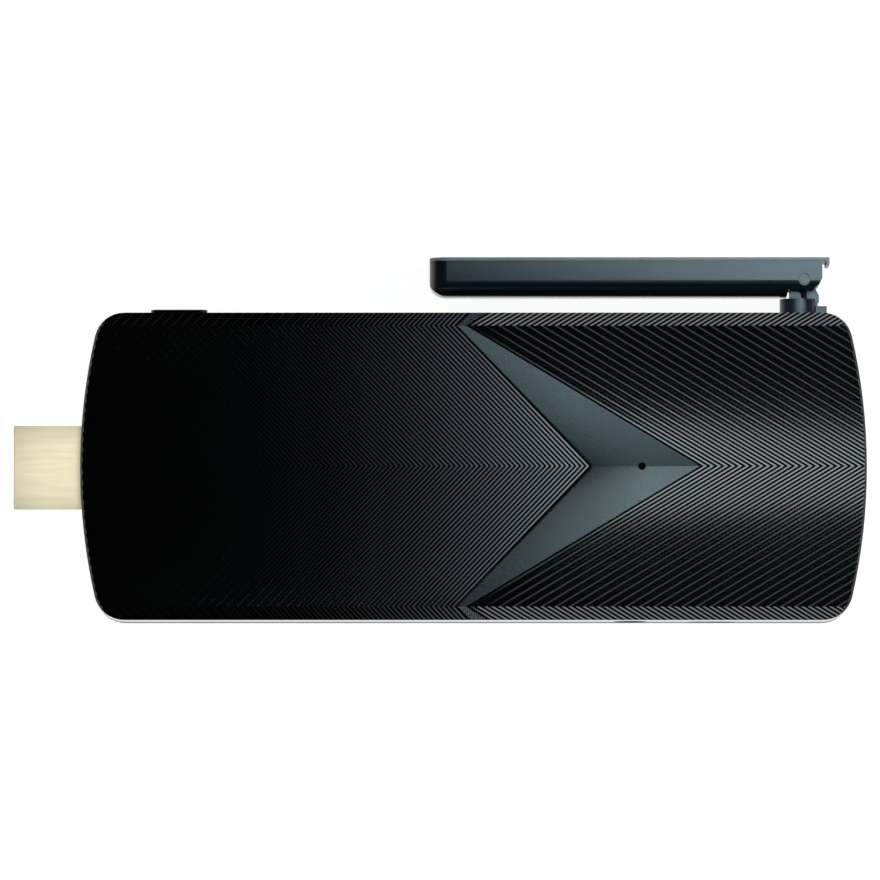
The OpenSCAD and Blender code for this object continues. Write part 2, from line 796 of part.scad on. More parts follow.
// Sprung washer that gives the swivel its friction
module wave_washer() color("silver")
    difference() {
        bar_y(swivel_x, swivel_z, washer_r, washer_y, washer_y + washer_thickness);
        bar_y(swivel_x, swivel_z, stub_r + 0.05, washer_y - past, washer_y + past + washer_thickness);
    }

// Open ring in the groove of the stub, which keeps the antenna in the case
module retaining_ring() color([0.3, 0.3, 0.32])
    difference() {
        bar_y(swivel_x, swivel_z, ring_r, ring_y, ring_y + ring_thickness);
        bar_y(swivel_x, swivel_z, ring_groove_r + 0.01, ring_y - past, ring_y + past + ring_thickness);
        block([swivel_x - ring_mouth / 2, ring_y - past, swivel_z - ring_r - past],
            [swivel_x + ring_mouth / 2, ring_y + past, swivel_z - 1]);
    }

// A round lead through a list of places, with round bends
module lead(places, r)
    for (i = [1:len(places) - 1]) hull() {
        translate(places[i - 1]) sphere(r, $fn = 16);
        translate(places[i]) sphere(r, $fn = 16);
    }

// Stretch of the lead that turns with the base, through the stub and up the groove
module base_coax() color([0.05, 0.05, 0.05])
    lead([
        [swivel_x, stub_end_y + coax_r, coax_z],
        [swivel_x, disc_y + 0.6, coax_z],
        [pin_x, disc_top_y, coax_z + 1.2],
        [pin_x, neck_top_y - 0.35, coax_z + 1.2]
    ], base_coax_r);

// Steel pin through both cheeks of the antenna and the tongue between them
module hinge_pin() color([0.5, 0.52, 0.54])
    translate([pin_x, pin_y, 0]) {
        translate([0, 0, blade_z + 0.4]) cylinder(r = pin_r, h = antenna_width - 0.8);
        translate([0, 0, blade_z + antenna_width - 0.4]) cylinder(r = pin_head_r, h = 0.3);
    }

// Side outline of the antenna's shell: a swept-up far end and the cut-back hinge end
function shell_side() = concat(
    [[blade_left, lid_y], [blade_left, blade_bottom + 2.4]],
    [for (a = [0:15:90]) [blade_left + 3.1 * (1 - cos(a)), blade_bottom + 2.4 * (1 - sin(a))]],
    [
        [slot_left, blade_bottom],
        [slot_left + 0.3, cheek_y],
        [blade_right - 1.5, cheek_y],
        [blade_right - 0.6, cheek_y + 0.8],
        [blade_right, cheek_y + 1.9],
        [blade_right, lid_y]
    ]
);

// Plan outline of the antenna, seen along Y: round corners at the far end
function blade_plan(left, right, inset) =
    let (r = blade_corner - inset, low = blade_z + inset, high = blade_z + antenna_width - inset) concat(
        arc(left + r, low + r, r, 270, 180, 6),
        arc(left + r, high - r, r, 180, 90, 6),
        [[right, high], [right, low]]
    );

// Cross-section of the antenna's shell: rounded along both edges that face the case
function shell_section() =
    let (r = blade_round, near = blade_bottom + r, high = blade_z + antenna_width) concat(
        arc(near, blade_z + r, r, 270, 180, 8),
        arc(near, high - r, r, 180, 90, 8),
        [[blade_top + past, high], [blade_top + past, blade_z]]
    );

// A prism of an outline in X and Z, run along Y
module plan_prism(points, from_y, to_y)
    translate([0, to_y, 0]) rotate([90, 0, 0]) linear_extrude(to_y - from_y) polygon(points);

// Trough-shaped shell of the antenna, slotted at its hinge end for the tongue
module antenna_shell() color([0.3, 0.36, 0.39])
    difference() {
        intersection() {
            translate([0, 0, blade_z - past]) linear_extrude(antenna_width + 2 * past) polygon(shell_side());
            plan_prism(blade_plan(blade_left, blade_right + past, 0), blade_bottom - past, blade_top);
            rotate([90, 0, 90]) translate([0, 0, blade_left - past])
                linear_extrude(antenna_length + 3 * past) polygon(shell_section());
        }
        plan_prism(blade_plan(blade_left + blade_wall, hinge_block_x, blade_wall),
            blade_bottom + 2.4, blade_top);
        block([blade_left + 4, blade_bottom + blade_wall, blade_z + blade_round],
            [hinge_block_x, blade_bottom + 3, blade_z + antenna_width - blade_round]);
        block([slot_left, blade_bottom - past, swivel_z - tongue_width / 2 - tongue_gap],
            [blade_right + past, blade_top, swivel_z + tongue_width / 2 + tongue_gap]);
        block([hinge_block_x - past, pin_y - 0.7, swivel_z - 0.7],
            [slot_left + past, pin_y + 0.7, swivel_z + 0.7]);
        translate([pin_x, pin_y, blade_z - past])
            cylinder(r = pin_r - pin_press, h = antenna_width + 2 * past);
        translate([pin_x, pin_y, blade_z + antenna_width - pin_sink]) cylinder(r = pin_sink_r, h = 2);
    }

// Flat lid of the antenna, hooked over the hinge end
module antenna_lid() color([0.6, 0.63, 0.64]) {
    plan_prism(blade_plan(blade_left, lid_right, 0), lid_y, blade_top);
    block([lid_right - lid_thickness, lid_y - lip_drop, blade_z],
        [lid_right, lid_y + 0.1, blade_z + antenna_width]);
}

// Printed antenna strip inside the shell
module antenna_element() color([0.1, 0.3, 0.2])
    block([blade_left + 4, pin_y - 0.3, swivel_z - 2.9], [hinge_block_x - 4, pin_y + 0.3, swivel_z + 2.9]);

// Stretch of the lead inside the antenna, soldered to the strip
module blade_coax() color([0.05, 0.05, 0.05])
    translate([hinge_block_x - 3.9, pin_y, swivel_z]) rotate([0, 90, 0])
        cylinder(r = coax_r, h = slot_left - hinge_block_x + 3.6);

top_cover();
bottom_case();
case_screws();
light_pipe();
main_board();
processor();
thermal_pad();
heat_sink();
memory_chips();
storage_chip();
power_chip();
power_coils();
capacitors();
crystal();
status_led();
wifi_board();
wifi_shield();
coax_plug();
case_coax();
hdmi_shell();
hdmi_insulator();
hdmi_contacts();
usb_shell();
usb_tongue();
usb_contacts();
micro_usb_shell();
micro_usb_tongue();
jack_body();
jack_contacts();
card_slot_base();
card_slot_cover();
switch_body();
switch_plunger();
power_button();
swivel_bush();
antenna_base();
wave_washer();
retaining_ring();
base_coax();
hinge_pin();
antenna_shell();
antenna_lid();
antenna_element();
blade_coax();
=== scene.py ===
import math

import bmesh
import bpy
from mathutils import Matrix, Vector


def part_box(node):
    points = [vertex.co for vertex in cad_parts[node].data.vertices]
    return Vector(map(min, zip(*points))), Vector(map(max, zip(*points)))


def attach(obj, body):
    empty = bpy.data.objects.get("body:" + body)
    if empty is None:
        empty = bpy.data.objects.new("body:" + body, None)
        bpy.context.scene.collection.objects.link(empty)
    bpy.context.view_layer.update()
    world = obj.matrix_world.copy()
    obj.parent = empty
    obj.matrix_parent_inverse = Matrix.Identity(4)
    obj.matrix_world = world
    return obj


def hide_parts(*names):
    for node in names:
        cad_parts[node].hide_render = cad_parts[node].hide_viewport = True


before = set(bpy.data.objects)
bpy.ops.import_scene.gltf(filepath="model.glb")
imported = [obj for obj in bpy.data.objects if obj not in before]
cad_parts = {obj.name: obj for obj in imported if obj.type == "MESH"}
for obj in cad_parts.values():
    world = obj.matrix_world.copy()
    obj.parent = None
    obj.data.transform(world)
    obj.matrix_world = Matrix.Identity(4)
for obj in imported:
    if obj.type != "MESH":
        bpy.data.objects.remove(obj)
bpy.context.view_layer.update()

MM = 0.001


# Camera. The player is seen from straight above through a long lens, from a little in front of
# its long side, so that a sliver of that side shows.

aim = Vector((-5.55, 4.3, 14)) * MM
camera_spot = Vector((-5.55, -115, 2014)) * MM
shown_width = 145.7 * MM
sensor_width = 36

camera = bpy.data.objects.new("camera", bpy.data.cameras.new("camera"))
bpy.context.scene.collection.objects.link(camera)
camera.location = camera_spot
camera.rotation_mode = "QUATERNION"
camera.rotation_quaternion = (aim - camera_spot).to_track_quat("-Z", "Y")
camera.data.sensor_width = sensor_width
camera.data.lens = sensor_width * (aim - camera_spot).length / shown_width
camera.data.clip_start = 0.05
camera.data.clip_end = 50
bpy.context.scene.camera = camera
bpy.context.scene.view_settings.view_transform = "Standard"


# Studio. A plain white table that glows a little so that it stays white in the shadows, in a room
# that is pale at the horizon and dark overhead. Soft panels stand where the glossy ribs, the plug
# and the antenna mirror them from above, and some fade out so that the light on the ribs ends softly.

table_reach = 12
table_top = -0.1 * MM
table_shade = 0.6
table_glow = 0.93
sky = [(0.0, 0.2), (0.12, 0.12), (0.3, 0.03), (1.0, 0.004)]
sky_tint = (0.94, 0.985, 1)

floor_mesh = bpy.data.meshes.new("floor")
floor_mesh.from_pydata(
    [(x * table_reach, y * table_reach, table_top) for x, y in ((-1, -1), (1, -1), (1, 1), (-1, 1))],
    [],
    [(0, 1, 2, 3)],
)
floor = bpy.data.objects.new("floor", floor_mesh)
bpy.context.scene.collection.objects.link(floor)

floor_paint = bpy.data.materials.new("table_white")
floor_paint.use_nodes = True
floor_shader = floor_paint.node_tree.nodes["Principled BSDF"]
floor_shader.inputs["Base Color"].default_value = (table_shade, table_shade, table_shade, 1)
floor_shader.inputs["Roughness"].default_value = 0.9
floor_shader.inputs["Specular IOR Level"].default_value = 0.1
floor_shader.inputs["Emission Color"].default_value = (1, 1, 1, 1)
floor_shader.inputs["Emission Strength"].default_value = table_glow
floor_mesh.materials.append(floor_paint)

room = bpy.data.worlds.new("room")
bpy.context.scene.world = room
room.use_nodes = True
room_nodes = room.node_tree.nodes
room_links = room.node_tree.links
direction = room_nodes.new("ShaderNodeTexCoord")
height = room_nodes.new("ShaderNodeSeparateXYZ")
room_links.new(direction.outputs["Generated"], height.inputs["Vector"])
room_ramp = room_nodes.new("ShaderNodeValToRGB")
stops = room_ramp.color_ramp.elements
while len(stops) < len(sky):
    stops.new(0.5)
for stop, (place, level) in zip(stops, sky):
    stop.position = place
    stop.color = [level * part for part in sky_tint] + [1]
room_links.new(height.outputs["Z"], room_ramp.inputs["Fac"])
seen = room_nodes.new("ShaderNodeLightPath")
backdrop = room_nodes.new("ShaderNodeMix")
backdrop.data_type = "RGBA"
backdrop.inputs["B"].default_value = (1, 1, 1, 1)
room_links.new(seen.outputs["Is Camera Ray"], backdrop.inputs["Factor"])
room_links.new(room_ramp.outputs["Color"], backdrop.inputs["A"])
room_links.new(backdrop.outputs["Result"], room_nodes["Background"].inputs["Color"])


panel_height = 170
wall_y = 300
daylight = (0.88, 0.955, 1)
pale_blue = (0.76, 0.87, 1)


def soft_panel(name, x, y, z, glow, fade=None, only=None, tint=daylight):
    """A soft lamp that fills spans of x and y and shines down from z, or stands at y and fills spans
    of x and z. It may fade out towards its low x, and light one group of pieces only."""
    standing = isinstance(z, tuple)
    rise = z if standing else y
    lamp = bpy.data.lights.new(name, "AREA")
    lamp.shape = "RECTANGLE"
    lamp.size, lamp.size_y = (x[1] - x[0]) * MM, (rise[1] - rise[0]) * MM
    lamp.energy = glow * math.pi * lamp.size * lamp.size_y
    lamp.color = tint
    if fade:
        lamp.use_nodes = True
        nodes, links = lamp.node_tree.nodes, lamp.node_tree.links
        place = nodes.new("ShaderNodeNewGeometry")
        across = nodes.new("ShaderNodeSeparateXYZ")
        links.new(place.outputs["Parametric"], across.inputs["Vector"])
        fall = nodes.new("ShaderNodeMath")
        fall.operation = "POWER"
        fall.inputs[1].default_value = fade
        links.new(across.outputs["X"], fall.inputs[0])
        links.new(fall.outputs["Value"], nodes["Emission"].inputs["Strength"])
    panel = bpy.data.objects.new(name, lamp)
    bpy.context.scene.collection.objects.link(panel)
    centre = [sum(span) / 2 if isinstance(span, tuple) else span for span in (x, y, z)]
    panel.location = Vector(centre) * MM
    if standing:
        panel.rotation_euler.x = math.radians(-90 if y > 0 else 90)
    panel.visible_camera = False
    if only:
        panel.light_linking.receiver_collection = only


cover_group = bpy.data.collections.new("cover_light")
plug_group = bpy.data.collections.new("plug_light")
antenna_group = bpy.data.collections.new("antenna_light")

# Slopes of the ribs, to the right and to the left of the arrow.
soft_panel("right_back", (150, 230), (250, 270), panel_height, 7.6)
soft_panel("right_front", (135, 215), (-208, -192), panel_height, 7.6)
soft_panel("right_back_dim", (150, 230), (270, 300), panel_height, 0.9)
soft_panel("right_front_dim", (135, 215), (-236, -208), panel_height, 0.9)
soft_panel("left_front", (-125, -45), (-214, -186), panel_height, 7.6)
soft_panel("left_back", (-130, -55), (242, 272), panel_height, 7.6)
soft_panel("fading_right_back", (115, 224), (198, 238), panel_height, 9.3, 5.5, tint=pale_blue)
soft_panel("fading_right_front", (100, 209), (-184, -150), panel_height, 9.3, 5.5, tint=pale_blue)
soft_panel("fading_left_front", (-262, -155), (-164, -126), panel_height, 9.6, 5.5, tint=pale_blue)
soft_panel("fading_left_back", (-280, -168), (176, 216), panel_height, 9.6, 5.5, tint=pale_blue)

# Slopes of the ribs in the bands along the two edges.
soft_panel("band_back", (104, 184), (-53, -24), panel_height, 4.5)
soft_panel("band_front", (108, 188), (48, 78), panel_height, 4.5)
soft_panel("fading_band_back", (85, 168), (-20, 10), panel_height, 5, 5, tint=pale_blue)
soft_panel("fading_band_front", (88, 172), (16, 46), panel_height, 5, 5, tint=pale_blue)
soft_panel("low_back", (-105, -12), wall_y, (25, 95), 4)
soft_panel("low_front", (-120, -22), -wall_y, (55, 125), 4)
soft_panel("fading_low_back", (-228, -140), wall_y, (40, 105), 5, 5, tint=pale_blue)
soft_panel("fading_low_front", (-250, -162), -wall_y, (75, 140), 6, 5, tint=pale_blue)

# The arrow's two facets, and a faint light over the whole cover.
soft_panel("arrow_front", (-58, 0), (-75, -20), 200, 1.75, None, cover_group, (0.66, 0.93, 1))
soft_panel("arrow_back", (-16, 20), (49, 80), 200, 3, None, cover_group, (0.7, 0.95, 1))
soft_panel("overhead", (-82, 90), (-32, 62), 400, 0.1, 1, cover_group, (0.4, 0.8, 1))

# The plug's top, and the antenna with its hinge.
soft_panel("plug_top", (-140, -20), (-50, 70), 160, 1.35, only=plug_group)
soft_panel("antenna_top", (-40, 120), (34, 100), 180, 11, 0.9, antenna_group, (0.65, 0.87, 1))


# Patterned cover. The upper half of the case, moulded in black plastic with fine V-shaped ribs,
# a satin arrow sunk between them and a small hole for the status light on the arrow's crease.
# Screws from below pull it onto the bottom case. Its band along each long edge slopes down.

cover_low, cover_high = (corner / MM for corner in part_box("top_cover"))
top_z = cover_high.z
half_width = cover_high.y
band_width = 2.2
band_drop = 0.6
fold_y = half_width - band_width
rib_count = 62
rib_pitch = 1.2
rib_depth = 0.145
slope_width = 0.256
crest_below_top = 0.05
edge_round = 0.12
arrow_apex_x = 19.6
arrow_tip_x = 37.5
back_angle = math.radians(46.2)
front_angle = math.radians(31)
back_u = arrow_apex_x * math.sin(back_angle)
front_u = arrow_tip_x * math.sin(front_angle)
arrow_reach = (arrow_tip_x - arrow_apex_x) * math.sin(front_angle)
arrow_depth = 1.04
arrow_curve = 1.4
arrow_steps = 24
margin = 2
block_bottom = -5
beyond = 1000
smooth_turn = 14
cover_black = (0.0009, 0.0012, 0.0016)
arrow_slate = (0.012, 0.022, 0.03)


def keep_side(points, a, b, c):
    """The part of a flat polygon where a * x + b * y + c is not negative."""
    kept = []
    for i, p in enumerate(points):
        q = points[(i + 1) % len(points)]
        here = a * p[0] + b * p[1] + c
        there = a * q[0] + b * q[1] + c
        if here >= 0:
            kept.append(p)
        if (here < 0) != (there < 0):
            share = here / (here - there)
            kept.append((p[0] + share * (q[0] - p[0]), p[1] + share * (q[1] - p[1])))
    return kept


def base_height(y):
    """Height of the cover's smooth surface: flat, then falling in the band along each edge."""
    return top_z - crest_below_top - band_drop * max(0, abs(y) - fold_y) / band_width


class Zone:
    """A quarter of the pattern: one side of the centreline, inside or outside the fold."""

    def __init__(self, side, outside, angle):
        self.side, self.outside, self.angle = side, outside, angle
        low, high = (fold_y, half_width + margin) if outside else (0, fold_y)
        reach_x = cover_high.x + margin
        self.field = [(-reach_x, side * low), (reach_x, side * low), (reach_x, side * high), (-reach_x, side * high)]

    def measure(self):
        """The numbers a, b, c that give u = a * x + b * y + c, counted across the ribs."""
        across, along = math.sin(self.angle), math.cos(self.angle) * self.side
        return (across, -along, 2 * fold_y * math.cos(self.angle)) if self.outside else (across, along, 0)

    def strip(self, u_low, u_high, field=None):
        """The piece of the zone between two lines of equal u."""
        a, b, c = self.measure()
        return keep_side(keep_side(field or self.field, a, b, c - u_low), -a, -b, u_high - c)

    def u_of(self, x, y):
        a, b, c = self.measure()
        return a * x + b * y + c


def add_strip(mesh, zone, points, low, high, layer):
    """Adds a strip whose height runs evenly from one of its two (u, height) lines to the other."""
    if len(points) < 3:
        return
    corners = []
    for x, y in points:
        share = (zone.u_of(x, y) - low[0]) / (high[0] - low[0])
        z = base_height(y) + low[1] + share * (high[1] - low[1])
        corners.append(mesh.verts.new((x * MM, y * MM, z * MM)))
    face = mesh.faces.new(corners)
    face.material_index = layer


def rib_lines(start, step):
    """Lines of one rib after another away from the arrow: crest, slope, groove, slope."""
    flat_width = rib_pitch / 2 - slope_width
    places = (0, flat_width, rib_pitch / 2, rib_pitch / 2 + flat_width)
    heights = (0, 0, -rib_depth, -rib_depth)
    return [(start + step * (rib_pitch * i + place), height)
            for i in range(rib_count) for place, height in zip(places, heights)]


def arrow_fall(distance):
    """Depth of the arrow's facet at a distance from its front edge: steep first, then level."""
    return -arrow_depth * (1 - (1 - distance / arrow_reach) ** arrow_curve)


# A block with the pattern on its top, that the plain cover is cut to.
pattern = bmesh.new()
for side in (-1, 1):
    for outside in (False, True):
        left = Zone(side, outside, back_angle)
        lines = rib_lines(back_u, -1)
        for near, far in zip(lines, lines[1:]):
            add_strip(pattern, left, left.strip(far[0], near[0]), far, near, 0)
        right = Zone(side, outside, front_angle)
        lines = rib_lines(front_u, 1)
        for near, far in zip(lines, lines[1:]):
            add_strip(pattern, right, right.strip(near[0], far[0]), near, far, 0)
        arrow_field = left.strip(back_u, beyond)
        falls = [(front_u - arrow_reach * i / arrow_steps, arrow_fall(arrow_reach * i / arrow_steps))
                 for i in range(arrow_steps + 1)]
        edge = []
        for near, far in zip(falls, falls[1:]):
            points = right.strip(far[0], near[0], arrow_field)
            add_strip(pattern, right, points, far, near, 1)
            edge += [p for p in points if abs(left.u_of(*p) - back_u) < 1e-6]
        edge = sorted(set((round(x, 7), round(y, 7)) for x, y in edge))
        wall = [(x, y, base_height(y)) for x, y in (edge[0], edge[-1])]
        for x, y in reversed(edge):
            steps_in = (front_u - right.u_of(x, y)) / arrow_reach * arrow_steps
            i = min(int(steps_in + 1e-6), arrow_steps - 1)
            fall = falls[i][1] + (steps_in - i) * (falls[i + 1][1] - falls[i][1])
            wall.append((x, y, base_height(y) + fall))
        pattern.faces.new([pattern.verts.new((x * MM, y * MM, z * MM)) for x, y, z in wall]).material_index = 0
bmesh.ops.remove_doubles(pattern, verts=pattern.verts, dist=2e-6)
bmesh.ops.dissolve_degenerate(pattern, edges=pattern.edges, dist=1e-7)
rim = [edge for edge in pattern.edges if edge.is_boundary]
skirt = bmesh.ops.extrude_edge_only(pattern, edges=rim)["geom"]
for piece in skirt:
    if isinstance(piece, bmesh.types.BMVert):
        piece.co.z = block_bottom * MM
bmesh.ops.holes_fill(pattern, edges=[edge for edge in pattern.edges if edge.is_boundary])
bmesh.ops.recalc_face_normals(pattern, faces=pattern.faces)
pattern_block = bpy.data.meshes.new("pattern_block")
pattern.to_mesh(pattern_block)
pattern.free()


def copied(node, name):
    """A new object with a copy of a CAD node's mesh, welded so that other shapes can cut it."""
    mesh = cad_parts[node].data.copy()
    mesh.name = name
    if "custom_normal" in mesh.attributes:
        mesh.attributes.remove(mesh.attributes["custom_normal"])
    joined = bmesh.new()
    joined.from_mesh(mesh)
    bmesh.ops.remove_doubles(joined, verts=joined.verts, dist=1e-7)
    bmesh.ops.dissolve_degenerate(joined, edges=joined.edges, dist=1e-7)
    joined.to_mesh(mesh)
    joined.free()
    copy = bpy.data.objects.new(name, mesh)
    bpy.context.scene.collection.objects.link(copy)
    return copy


def settle(piece):
    """Applies the piece's modifiers to its mesh."""
    graph = bpy.context.evaluated_depsgraph_get()
    finished = bpy.data.meshes.new_from_object(piece.evaluated_get(graph))
    piece.modifiers.clear()
    piece.data = finished


def smooth_below(piece, degrees):
    """Shades the piece smooth, with an edge wherever its faces turn by more than the angle."""
    piece.data.shade_smooth()
    piece.data.set_sharp_from_angle(angle=math.radians(degrees))


def softened(node, name, width, steps=2, turn=40, level=15):
    """A copy of a CAD node with its edges rounded, standing for that node."""
    piece = copied(node, name)
    flat = piece.modifiers.new("flat_faces", "DECIMATE")
    flat.decimate_type = "DISSOLVE"
    flat.angle_limit = math.radians(0.3)
    round_edges = piece.modifiers.new("round_edges", "BEVEL")
    round_edges.width = width * MM
    round_edges.segments = steps
    round_edges.limit_method = "ANGLE"
    round_edges.angle_limit = math.radians(turn)
    settle(piece)
    smooth_below(piece, level)
    return piece


def plastic(name, colour, rough, grain=0.02, grain_scale=9000, speckle=0.25, ior=1.5):
    """A moulded plastic: colour with faint flow clouds, a spark-eroded grain and uneven gloss."""
    material = bpy.data.materials.new(name)
    material.use_nodes = True
    nodes, links = material.node_tree.nodes, material.node_tree.links
    shader = nodes["Principled BSDF"]
    shader.inputs["IOR"].default_value = ior
    place = nodes.new("ShaderNodeTexCoord")
    clouds = nodes.new("ShaderNodeTexNoise")
    clouds.inputs["Scale"].default_value = 90
    clouds.inputs["Detail"].default_value = 4
    links.new(place.outputs["Object"], clouds.inputs["Vector"])
    tone = nodes.new("ShaderNodeValToRGB")
    tone.color_ramp.elements[0].position = 0.3
    tone.color_ramp.elements[0].color = [c * (1 - speckle) for c in colour] + [1]
    tone.color_ramp.elements[1].position = 0.7
    tone.color_ramp.elements[1].color = [c * (1 + speckle) for c in colour] + [1]
    links.new(clouds.outputs["Fac"], tone.inputs["Fac"])
    links.new(tone.outputs["Color"], shader.inputs["Base Color"])
    pores = nodes.new("ShaderNodeTexNoise")
    pores.inputs["Scale"].default_value = grain_scale
    pores.inputs["Detail"].default_value = 2
    links.new(place.outputs["Object"], pores.inputs["Vector"])
    gloss = nodes.new("ShaderNodeMapRange")
    gloss.inputs["To Min"].default_value = rough * 0.85
    gloss.inputs["To Max"].default_value = rough * 1.15
    links.new(clouds.outputs["Fac"], gloss.inputs["Value"])
    links.new(gloss.outputs["Result"], shader.inputs["Roughness"])
    bump = nodes.new("ShaderNodeBump")
    bump.inputs["Strength"].default_value = grain
    bump.inputs["Distance"].default_value = 0.05 * MM
    links.new(pores.outputs["Fac"], bump.inputs["Height"])
    links.new(bump.outputs["Normal"], shader.inputs["Normal"])
    return material


rib_plastic = plastic("rib_plastic", cover_black, 0.06, grain=0.006, grain_scale=4000)
arrow_plastic = plastic("arrow_plastic", arrow_slate, 0.25, grain=0.05, grain_scale=4000, ior=2.3)
cover = softened("top_cover", "ribbed_cover", edge_round)
cover.data.materials.clear()
for mesh in (cover.data, pattern_block):
    mesh.materials.append(rib_plastic)
    mesh.materials.append(arrow_plastic)
pattern_tool = bpy.data.objects.new("pattern_tool", pattern_block)
bpy.context.scene.collection.objects.link(pattern_tool)
cut = cover.modifiers.new("ribs", "BOOLEAN")
cut.operation = "INTERSECT"
cut.object = pattern_tool
cut.solver = "EXACT"
cut.material_mode = "INDEX"
settle(cover)
bpy.data.objects.remove(pattern_tool)
smooth_below(cover, smooth_turn)

# The arrow's crease and its border stay crisp, though they turn by less than the smoothing does.
shaped = bmesh.new()
shaped.from_mesh(cover.data)
for edge in shaped.edges:
    on_crease = all(abs(corner.co.y) < 0.001 * MM for corner in edge.verts)
    on_border = len(set(face.material_index for face in edge.link_faces)) > 1
    if on_crease or on_border:
        edge.smooth = False
shaped.to_mesh(cover.data)
shaped.free()
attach(cover, "case")
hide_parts("top_cover")
cover_group.objects.link(cover)


# Bottom case. The lower half, moulded in plain black plastic with a fine spark-eroded grain. It
# carries the board on posts and has slots for cooling air in its floor and port cut-outs around.

def finish_node(node, material):
    """Gives a CAD node its finished material."""
    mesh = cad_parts[node].data
    mesh.materials.clear()
    mesh.materials.append(material)


def stands_for(piece, node, body, material):
    """Puts a finished piece in the place of its CAD node."""
    piece.data.materials.clear()
    piece.data.materials.append(material)
    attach(piece, body)
    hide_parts(node)


case_plastic = plastic("case_plastic", (0.006, 0.0066, 0.0075), 0.38, grain=0.5, grain_scale=7000)
bottom = softened("bottom_case", "bottom_shell", 0.15)
stands_for(bottom, "bottom_case", "case", case_plastic)


# Screws. Four cross-head steel screws, zinc plated, driven up through the floor of the bottom
# case into bosses in the cover.

def metal(name, colour, rough, stretch=(1, 1, 1), tarnish=0.12, scratch=0.05):
    """A bare or plated metal: faint tarnish clouds and fine rolling marks along one direction."""
    material = bpy.data.materials.new(name)
    material.use_nodes = True
    nodes, links = material.node_tree.nodes, material.node_tree.links
    shader = nodes["Principled BSDF"]
    shader.inputs["Metallic"].default_value = 1
    place = nodes.new("ShaderNodeTexCoord")
    clouds = nodes.new("ShaderNodeTexNoise")
    clouds.inputs["Scale"].default_value = 160
    clouds.inputs["Detail"].default_value = 5
    links.new(place.outputs["Object"], clouds.inputs["Vector"])
    tone = nodes.new("ShaderNodeValToRGB")
    tone.color_ramp.elements[0].position = 0.25
    tone.color_ramp.elements[0].color = [c * (1 - tarnish) for c in colour] + [1]
    tone.color_ramp.elements[1].position = 0.7
    tone.color_ramp.elements[1].color = list(colour) + [1]
    links.new(clouds.outputs["Fac"], tone.inputs["Fac"])
    links.new(tone.outputs["Color"], shader.inputs["Base Color"])
    pull = nodes.new("ShaderNodeMapping")
    pull.inputs["Scale"].default_value = stretch
    links.new(place.outputs["Object"], pull.inputs["Vector"])
    marks = nodes.new("ShaderNodeTexNoise")
    marks.inputs["Scale"].default_value = 3000
    marks.inputs["Detail"].default_value = 3
    links.new(pull.outputs["Vector"], marks.inputs["Vector"])
    gloss = nodes.new("ShaderNodeMapRange")
    gloss.inputs["To Min"].default_value = rough * 0.75
    gloss.inputs["To Max"].default_value = rough * 1.25
    links.new(marks.outputs["Fac"], gloss.inputs["Value"])
    links.new(gloss.outputs["Result"], shader.inputs["Roughness"])
    bump = nodes.new("ShaderNodeBump")
    bump.inputs["Strength"].default_value = scratch
    bump.inputs["Distance"].default_value = 0.02 * MM
    links.new(marks.outputs["Fac"], bump.inputs["Height"])
    links.new(bump.outputs["Normal"], shader.inputs["Normal"])
    return material


screw_zinc = metal("screw_zinc", (0.62, 0.64, 0.66), 0.32)
finish_node("case_screws", screw_zinc)


# Video plug. A shell folded from thin steel sheet and gold plated, around a black moulded
# insulator with two rows of gold contacts. It is soldered to the edge of the board.

plug_gold = metal("plug_gold", (0.95, 0.8, 0.55), 0.34, (0.06, 1, 1), 0.05, 0.08)
plug = softened("hdmi_shell", "plug_shell", 0.22, 3, 35)
stands_for(plug, "hdmi_shell", "case", plug_gold)
plug_group.objects.link(plug)
port_black = plastic("port_black", (0.008, 0.008, 0.009), 0.45, grain=0.2, grain_scale=12000)
finish_node("hdmi_insulator", port_black)
contact_gold = metal("contact_gold", (0.88, 0.66, 0.3), 0.22, (0.05, 1, 1))
finish_node("hdmi_contacts", contact_gold)


# USB socket. A tinned steel shell with a white tongue that carries four gold contacts, soldered
# to the board and open at the right end of the case.

tinned_steel = metal("tinned_steel", (0.7, 0.71, 0.72), 0.28, (0.08, 1, 1))
usb = softened("usb_shell", "usb_socket_shell", 0.1)
stands_for(usb, "usb_shell", "case", tinned_steel)
port_white = plastic("port_white", (0.74, 0.74, 0.71), 0.4, grain=0.15, grain_scale=12000, speckle=0.05)
finish_node("usb_tongue", port_white)
finish_node("usb_contacts", contact_gold)


# Power inlet. A small socket folded from tinned steel around a black moulded tongue. It is
# soldered to the board and opens through the front wall of the case.

inlet = softened("micro_usb_shell", "inlet_shell", 0.06)
stands_for(inlet, "micro_usb_shell", "case", tinned_steel)
finish_node("micro_usb_tongue", port_black)


# Sound socket. A black moulded body soldered to the board, with a round nose in the front wall
# and stamped steel springs inside that press on the plug.

finish_node("jack_body", port_black)
spring_steel = metal("spring_steel", (0.6, 0.6, 0.6), 0.3)
finish_node("jack_contacts", spring_steel)


# Card slot. A black moulded base under a cover folded from tinned steel, soldered to the board
# behind a slit in the back wall.

finish_node("card_slot_base", port_black)
finish_node("card_slot_cover", tinned_steel)


# Power button. A black moulded bar that slides in the back wall and pushes the cream plunger of
# a small switch on the board.

button_plastic = plastic("button_plastic", (0.004, 0.0045, 0.005), 0.3, grain=0.2)
button = softened("power_button", "button_cap", 0.2, 3)
stands_for(button, "power_button", "button", button_plastic)
finish_node("switch_body", port_black)
plunger_resin = plastic("plunger_resin", (0.55, 0.5, 0.36), 0.45, speckle=0.06)
finish_node("switch_plunger", plunger_resin)


# Status light. A rod moulded in smoked clear plastic, pressed into a hole in the arrow's crease,
# carries the glow of a small white lamp on the board. It is off.

